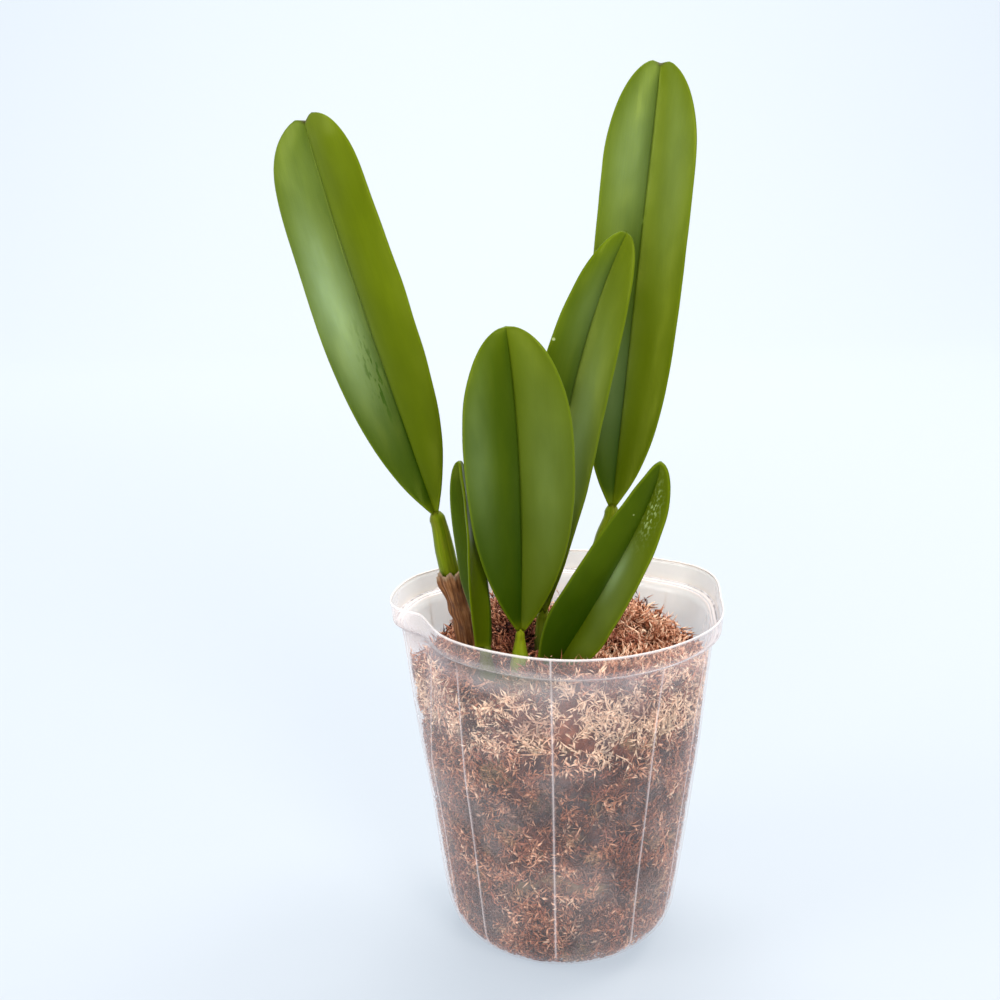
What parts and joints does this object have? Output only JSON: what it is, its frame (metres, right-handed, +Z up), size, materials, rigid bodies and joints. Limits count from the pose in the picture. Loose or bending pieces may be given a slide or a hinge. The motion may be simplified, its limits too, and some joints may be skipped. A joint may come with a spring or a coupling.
{
  "type": "potted cattleya orchid",
  "caption": "Young cattleya orchid with upright strap leaves, growing in dried moss in a clear tapered pot; stands on the pot's flat base.",
  "frame": {"origin": "middle of the pot's flat base, on the surface it stands on", "axes": "+Z up; the front of the plant looks towards -Y, +X is to its right as seen from the front"},
  "size_m": [0.135, 0.107, 0.2698],
  "materials": {
    "clear_plastic": "clear, slightly milky, soft",
    "dried_moss": "matt, fibrous",
    "root": "matt, spongy",
    "leaf": "waxy, leathery",
    "green_stem": "satin",
    "dry_sheath": "papery, dry"
  },
  "bodies": {
    "root": {"pot": "clear_plastic", "moss": "dried_moss", "rhizome_and_roots": "root", "leaf_left_tall": "leaf", "leaf_left_small": "leaf", "leaf_front_broad": "leaf", "leaf_middle": "leaf", "leaf_right_tall": "leaf", "leaf_right_low": "leaf", "stem_left_tall": "green_stem", "stem_left_small": "green_stem", "stem_front_broad": "green_stem", "stem_middle": "green_stem", "stem_right_tall": "green_stem", "stem_right_low": "green_stem", "sheath_left_tall": "dry_sheath"}
  },
  "joints": []
}
